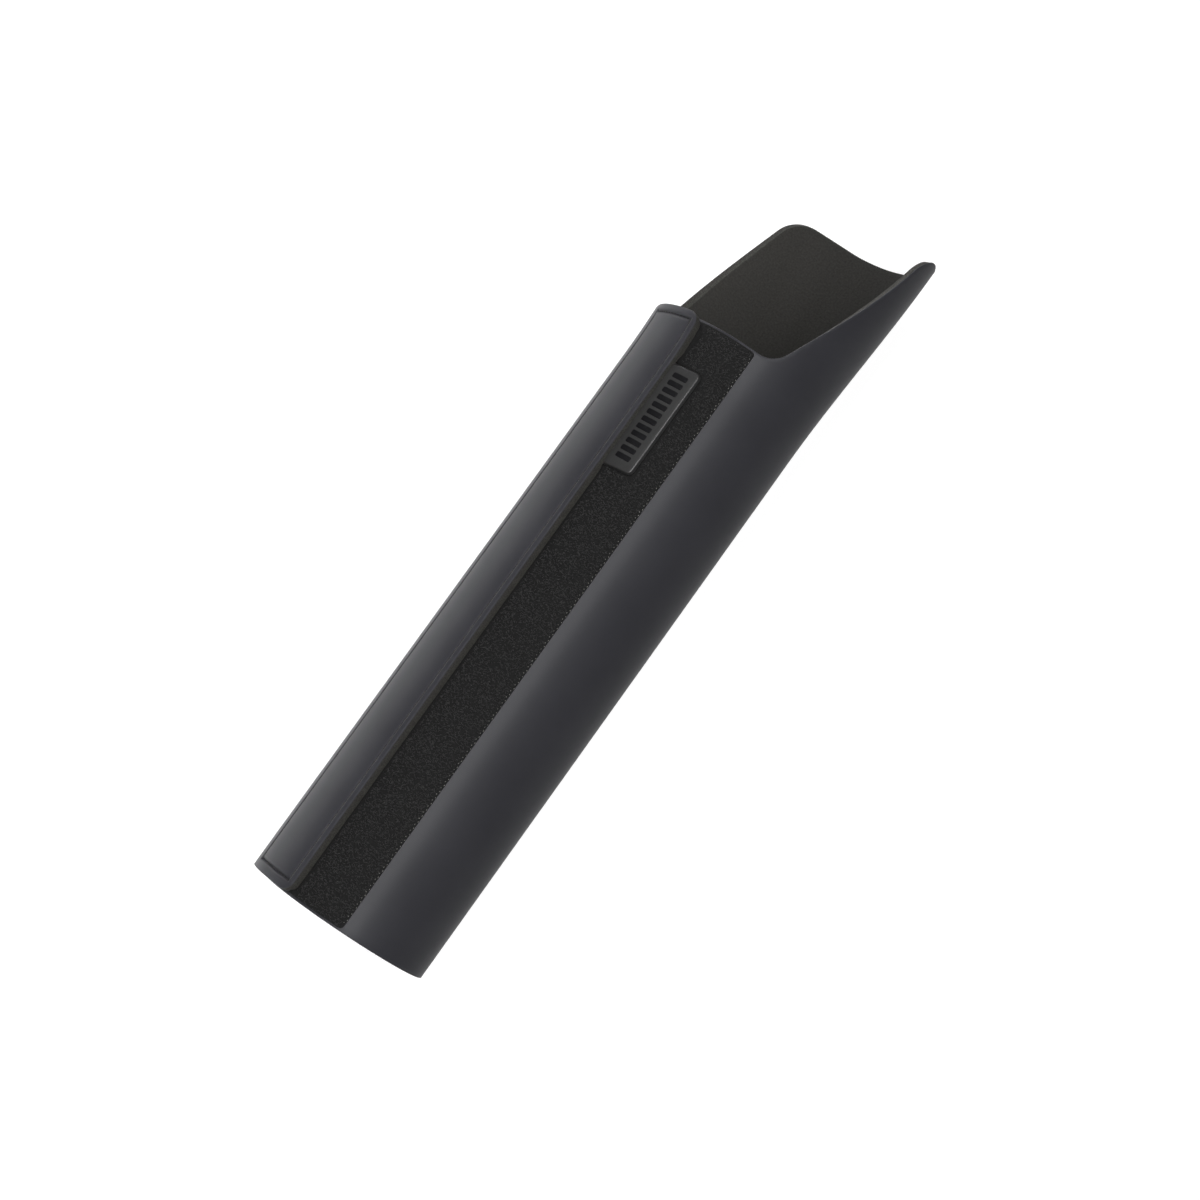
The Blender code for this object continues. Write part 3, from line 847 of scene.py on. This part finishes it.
def makeHookTape():
    edge = flapEdge - hookTape["edgeInset"]
    back = edge - hookTape["width"]
    start = rolled["flapSetback"] + hookTape["endInset"]
    end = closedLength - hookTape["endInset"]
    notch = edge - tab["tuck"]
    notchStart = tabStart - tab["flare"] - clearance
    notchEnd = tabEnd + clearance
    corners = [(back, start), (edge, start), (edge, notchStart), (notch, notchStart),
               (notch, notchEnd), (edge, notchEnd), (edge, end), (back, end)]
    outline = roundedOutline(corners, [0.0] * 8, 1.2 * mm)
    top = -wall / 2 + hookTape["sunk"]
    low = top - hookTape["ground"]
    places = gridPlaces(evenly(back, edge, hookTape["step"]), evenly(start, end, 3 * mm))
    ground, groundFaces, _, _ = sheetMesh(
        outline, hookTape["edgeProfile"], flatFace(top), flatFace(low), places, places, 0.5 * mm)
    pitch = hookTape["hookPitch"]
    spots = gridPlaces(np.arange(back + pitch / 2, edge, pitch), np.arange(start + pitch / 2, end, pitch))
    spots = spots[depthInside(spots, outline) > hookTape["hookMargin"]]
    side = np.where(np.arange(len(spots)) % 2 == 0, 1.0, -1.0)
    shape = np.array(hookTape["hookShape"]) * mm
    arc = np.repeat(spots[:, 0:1], len(shape), 1)
    x = spots[:, 1:2] + side[:, None] * shape[:, 0]
    height = np.broadcast_to(low + hookTape["hookRoot"] - shape[:, 1], arc.shape)
    hooks = tubeMesh(np.stack([arc, x, height], 2), hookTape["hookRadius"], 4)
    flat, faces = joined([(ground, groundFaces), hooks])
    return newPiece("hook_tape", roll(flat), faces, [tapeGround], None, flat)


hookPiece = dress(makeHookTape(), "hook_tape", "hook_strip")
print("hook tape", len(hookPiece.data.polygons), "faces")


# Rubber tab: a moulded head with softly turned edges, and a thin root sewn in under the flap
tabBase = loopFace + clearance
tabRoot = seam - tab["tuck"] + hookTape["edgeInset"] + clearance
tabReach = seam + tab["reach"]


def tabUnderside(arc, x):
    head = seam + clearance
    return tabBase + tab["lift"] * ease((arc - head) / (tabReach - head))


def tabOutside(arc, x):
    head = ease((arc - seam + 0.4 * mm) / (0.5 * mm))
    thin = rolled["hookThickness"]
    return tabUnderside(arc, x) + thin + (tab["thickness"] - thin) * head


def makeTab():
    corners = [(tabRoot, tabStart - tab["flare"]), (tabReach, tabStart), (tabReach, tabEnd),
               (tabRoot, tabEnd - tab["slant"])]
    outline = roundedOutline(corners, [0.0, tab["cornerRadius"], tab["cornerRadius"], 0.0], 0.5 * mm)
    profile = []
    for turn in (0, 18, 36, 54, 72, 90):
        angle = math.radians(turn)
        # the turn takes a share of the thickness, so that it fits the thin root, too
        inset = tab["draft"] + tab["edgeTurn"] * (1 - math.sin(angle))
        profile.append((inset, 0.35 * (1 - math.cos(angle)), 0.0, 0))
    profile += [(0.0, 0.8, 0.0, 0), (0.05 * mm, 0.95, 0.0, 0), (0.15 * mm, 1.0, 0.0, 0)]
    columns = evenly(tabRoot, tabReach, 0.5 * mm)
    places = gridPlaces(columns, evenly(tabStart - tab["flare"], tabEnd, 0.8 * mm))
    flat, faces, _, _ = sheetMesh(
        outline, profile, tabOutside, tabUnderside, places, places, 0.25 * mm)
    return newPiece("rubber_tab", roll(flat), faces, [tabRubber], None, flat)


def makeRibs():
    # plain grip ribs across the middle of the head
    middleX = (tabStart + tabEnd) / 2
    middleArc = seam + tab["reach"] * tab["ribPlace"]
    halfLength, halfWidth = tab["ribLength"] / 2, tab["ribWidth"] / 2
    left, right = middleArc - halfLength, middleArc + halfLength
    columns = evenly(left, right, 0.5 * mm)
    parts = []
    for rib in range(tab["ribs"]):
        x = middleX + (rib - (tab["ribs"] - 1) / 2) * tab["ribPitch"]
        near, far = x - halfWidth, x + halfWidth
        corners = [(left, near), (right, near), (right, far), (left, far)]
        outline = roundedOutline(corners, [tab["ribCorner"]] * 4, 0.3 * mm)
        places = gridPlaces(columns, evenly(near, far, 0.4 * mm))
        flat, faces, _, _ = sheetMesh(
            outline, tab["ribProfile"], lambda arc, x: tabOutside(arc, x) + tab["ribHeight"],
            lambda arc, x: tabOutside(arc, x) - 0.05 * mm, places, places, 0.12 * mm)
        parts.append((flat, faces))
    flat, faces = joined(parts)
    return newPiece("tab_ribs", roll(flat), faces, [ribRubber], None, flat)


tabPiece = dress(makeTab(), "rubber_tab", "label_tab")
ribPiece = dress(makeRibs(), "rubber_tab")
print("tab", len(tabPiece.data.polygons), "faces, ribs", len(ribPiece.data.polygons))


# Flap stitching: a lockstitched box, each stitch lying in the valley that it pulls

def stitchLines(first, last, count, length, slant, fixed, alongX):
    # centre lines of one straight run of stitches, as (arc, x) with a share along each stitch
    share = np.linspace(-1, 1, thread["stitchPoints"])
    middle = first + (last - first) * (np.arange(count) + 0.5) / count
    along = middle[:, None] + share * length / 2
    across = fixed + slant * share[None, :] + 0 * along
    arc, x = (across, along) if alongX else (along, across)
    return arc, x, share


def makeFlapThread():
    radius = flapSeam["threadRadius"]
    side, end = flapSeam["sideStitch"], flapSeam["endStitch"]
    runs = []
    for fixed in (seamNear, seamFar):
        runs.append((seamStart, seamEnd, stitchCount, stitchPitch, side, fixed))
    for fixed in (seamStart, seamEnd):
        runs.append((seamFar, seamNear, endStitchCount, endStitchPitch, end, fixed))
    parts, faceMaterial = [], []
    for first, last, count, pitch, stitch, fixed in runs:
        length = pitch * stitch["share"]
        arc, x, share = stitchLines(first, last, count, length, stitch["slant"], fixed, stitch is side)
        dive = np.abs(share) ** flapSeam["divePower"] * flapSeam["dive"]
        height = faceHeight(arc, x) + radius * stitch["standing"] - dive
        parts.append(pliedThread(np.stack([arc, x, height], 2), radius, flapSeam["lay"]))
        faceMaterial += [0 if stitch is side else 1] * len(parts[-1][1])
    flat, faces = joined(parts)
    finishes = [flapThreadFinish, endThreadFinish]
    return newPiece("flap_thread", roll(flat), faces, finishes, faceMaterial, flat)


flapThread = dress(makeFlapThread(), "sewing_thread", "flap_stitching")
print("flap thread", len(flapThread.data.polygons), "faces")


# Loop tape stitching: zigzag down the edge that shows, straight rows across the ends
loopSeam = {
    "pitch": 2.45 * mm,
    "swing": 0.75 * mm,
    "margin": 0.1 * mm,
    "inset": 2.5 * mm,
    "threadRadius": 0.15 * mm,
    "lay": 1.1 * mm,
    "valley": 0.60 * mm,          # how far down in the pile the zigzag runs between its turns
    "crown": 0.70 * mm,           # how far it comes up at them
    "outerCrown": 0.06 * mm,      # and how much further on the tape's outer side
    "crownPower": 7,
    "endPitch": 2.4 * mm,
    "endShare": 0.8,
    "endDepth": 0.50 * mm,
    "endDive": 0.3 * mm,
    "rearStanding": 0.02 * mm,
    "rearDive": 0.4 * mm,
}


def makeLoopThread():
    radius = loopSeam["threadRadius"]
    start = loopTape["endInset"] + loopSeam["inset"]
    end = closedLength - start
    near = loopRight - loopSeam["margin"] - loopSeam["swing"] / 2
    turns = round((end - start) / loopSeam["pitch"]) * 2
    share = np.linspace(0, 1, turns * 6 + 1)
    beat = share * turns
    wave = 1 - 2 * np.abs((beat / 2) % 1 * 2 - 1)
    x = start + (end - start) * share
    arc = near + tapeSide(x) - loopRight + wave * (loopSeam["swing"] / 2 - radius)
    crown = (loopSeam["crown"] + loopSeam["outerCrown"] * wave) * np.abs(wave) ** loopSeam["crownPower"]
    zigzag = np.stack([arc, x, loopFace - loopSeam["valley"] + crown], 1)[None]
    parts = [pliedThread(zigzag, radius, loopSeam["lay"])]
    first, last = seam - 0.5 * mm, near - 0.8 * mm
    count = round((last - first) / loopSeam["endPitch"])
    length = loopSeam["endPitch"] * loopSeam["endShare"]
    for row in (start, end):
        arc, x, share = stitchLines(first, last, count, length, 0.1 * mm, row, False)
        height = loopFace - loopSeam["endDepth"] - np.abs(share) ** 4 * loopSeam["endDive"] + 0 * arc
        parts.append(pliedThread(np.stack([arc, x, height], 2), radius, loopSeam["lay"]))
    faceMaterial = np.repeat([0, 1, 1], [len(faces) for _, faces in parts])
    flat, faces = joined(parts)
    finishes = [loopThreadFinish, endThreadFinish]
    return newPiece("loop_thread", roll(flat), faces, finishes, faceMaterial, flat)


def makeLoopRearThread():
    radius = loopSeam["threadRadius"]
    start = loopTape["endInset"] + loopSeam["inset"]
    end = closedLength - start
    line = loopLeft + loopSeam["margin"] + radius
    count = round((end - start) / loopSeam["endPitch"])
    length = loopSeam["endPitch"] * loopSeam["endShare"]
    arc, x, share = stitchLines(start, end, count, length, 0.05 * mm, line, True)
    height = loopFace + loopSeam["rearStanding"] - np.abs(share) ** 4 * loopSeam["rearDive"] + 0 * arc
    flat, faces = pliedThread(np.stack([arc, x, height], 2), radius, loopSeam["lay"])
    return newPiece("loop_rear_thread", roll(flat), faces, [loopThreadFinish], None, flat)


loopThread = dress(makeLoopThread(), "sewing_thread", "loop_stitching")
rearThread = dress(makeLoopRearThread(), "sewing_thread", "loop_rear_stitching")
print("loop thread", len(loopThread.data.polygons), "faces")


# Floor, world, lamps and camera
studio = {
    "floorSide": 40.0,
    "floorColour": "#bcbcbc",
    "floorLift": 0.62,
    "worldColour": "#ffffff",
    "worldLight": 0.13,
    "mirroredShare": 0.13,    # how much of the lift the satin cloth reflects
    "clipStart": 0.01,
    "clipEnd": 50.0,
}
# The overhead and side lamps stand at an angle round the tube's axis, from +Y over the top.
# The floor lamp is gridded and brightens the floor beside the flap, whose bounce lights that
# side from below. The tongue lamp, small and low, reaches into the tongue.
softboxes = {
    "overhead_softbox": {"elevation": 100.0, "distance": 1.5, "along": -0.25,
                         "width": 1.7, "depth": 0.4, "brightness": 8.7},
    "side_softbox": {"elevation": 125.0, "distance": 1.5, "along": 0.0,
                     "width": 1.2, "depth": 0.5, "brightness": 0.65},
}
griddedLamps = {
    "floor_lamp": {"place": (0.0, 0.35, 0.8), "towards": (0.0, 0.35, 0.0),
                   "width": 1.0, "depth": 0.5, "brightness": 3.8, "spread": 30.0},
    "tongue_lamp": {"place": (0.30, 0.30, 0.10), "towards": (0.125, -0.02, 0.045),
                    "width": 0.08, "depth": 0.08, "brightness": 1.2, "spread": 20.0},
}


def whereSeen(tree):
    # 1 where the camera looks straight at a surface or through glass, and a share of it in reflections
    ray = addNode(tree, "ShaderNodeLightPath")
    links = {0: ray.outputs["Is Glossy Ray"], 1: studio["mirroredShare"]}
    mirrored = addNode(tree, "ShaderNodeMath", links, operation="MULTIPLY")
    links = {0: ray.outputs["Is Camera Ray"], 1: ray.outputs["Is Transmission Ray"]}
    direct = addNode(tree, "ShaderNodeMath", links, operation="MAXIMUM")
    links = {0: direct.outputs["Value"], 1: mirrored.outputs["Value"]}
    return addNode(tree, "ShaderNodeMath", links, operation="MAXIMUM").outputs["Value"]


def makeFloor():
    half = studio["floorSide"] / 2
    data = bpy.data.meshes.new("floor")
    corners = [(-half, -half, 0), (half, -half, 0), (half, half, 0), (-half, half, 0)]
    data.from_pydata(corners, [], [(0, 1, 2, 3)])
    floor = bpy.data.objects.new("floor", data)
    bpy.context.scene.collection.objects.link(floor)
    # Matt painted board. What the camera sees is lifted towards white, and the shadow stays.
    material = bpy.data.materials.new("matt_white_board")
    material.use_nodes = True
    tree = material.node_tree
    tree.nodes.clear()
    matt = addNode(tree, "ShaderNodeBsdfDiffuse", {"Color": linearColour(studio["floorColour"])})
    links = {0: whereSeen(tree), 1: studio["floorLift"]}
    lift = addNode(tree, "ShaderNodeMath", links, operation="MULTIPLY")
    glow = addNode(tree, "ShaderNodeEmission", {"Strength": lift.outputs["Value"]})
    both = addNode(tree, "ShaderNodeAddShader", {0: matt.outputs["BSDF"], 1: glow.outputs["Emission"]})
    addNode(tree, "ShaderNodeOutputMaterial", {"Surface": both.outputs["Shader"]})
    data.materials.append(material)


def makeWorld():
    world = bpy.data.worlds.new("studio")
    bpy.context.scene.world = world
    world.use_nodes = True
    tree = world.node_tree
    tree.nodes.clear()
    links = {"Value": whereSeen(tree), "To Min": studio["worldLight"], "To Max": 1.0}
    level = addNode(tree, "ShaderNodeMapRange", links)
    links = {"Color": linearColour(studio["worldColour"]), "Strength": level.outputs["Result"]}
    sky = addNode(tree, "ShaderNodeBackground", links)
    addNode(tree, "ShaderNodeOutputWorld", {"Surface": sky.outputs["Background"]})


def addLamp(name, place, towards, width, depth, brightness, spread=180.0):
    # a soft lamp whose width runs along the sleeve; at full spread, brightness is what its face
    # shows, where 1 is white
    lamp = bpy.data.lights.new(name, "AREA")
    lamp.shape = "RECTANGLE"
    lamp.size, lamp.size_y = width, depth
    lamp.spread = math.radians(spread)
    lamp.energy = brightness * math.pi * width * depth
    holder = bpy.data.objects.new(name, lamp)
    bpy.context.scene.collection.objects.link(holder)
    back = (Vector(place) - Vector(towards)).normalized()
    along = Vector((1.0, 0.0, 0.0))
    along = (along - back * along.dot(back)).normalized()
    turned = Matrix((along, back.cross(along), back)).transposed().to_4x4()
    holder.matrix_world = Matrix.Translation(Vector(place)) @ turned
    holder.visible_camera = False


def addSoftbox(name, elevation, distance, along, width, depth, brightness):
    axis = Vector((along, 0.0, rolled["axisPlace"][2]))
    angle = math.radians(elevation)
    away = Vector((0.0, math.cos(angle), math.sin(angle)))
    addLamp(name, axis + away * distance, axis, width, depth, brightness)


view = {
    "place": (0.057299, -0.013302, 0.828007),   # from the start of the tube's axis
    "leanX": 0.1012,          # the camera's tilt along and across the sleeve, in radians
    "leanY": 0.0085,
    "turn": math.radians(54.3) - 0.0017,
    "focal": 2412.85,         # in pixels of the photograph
    "side": 1200,
    "sensor": 36.0,
}


def makeCamera():
    data = bpy.data.cameras.new("photo_camera")
    data.sensor_width = view["sensor"]
    data.lens = view["focal"] / view["side"] * view["sensor"]
    data.clip_start, data.clip_end = studio["clipStart"], studio["clipEnd"]
    holder = bpy.data.objects.new("photo_camera", data)
    bpy.context.scene.collection.objects.link(holder)
    forward = Vector((math.sin(view["leanX"]), math.sin(view["leanY"]), -1.0)).normalized()
    right = Vector((math.cos(view["turn"]), -math.sin(view["turn"]), 0.0))
    right = (right - forward * right.dot(forward)).normalized()
    up = right.cross(forward)
    turned = Matrix((right, up, -forward)).transposed().to_4x4()
    place = Vector(view["place"]) + Vector(rolled["axisPlace"])
    holder.matrix_world = Matrix.Translation(place) @ turned
    bpy.context.scene.camera = holder


makeFloor()
makeWorld()
for name, lamp in softboxes.items():
    addSoftbox(name, **lamp)
for name, lamp in griddedLamps.items():
    addLamp(name, **lamp)
makeCamera()
bpy.context.scene.view_settings.view_transform = "Standard"
print("studio set")
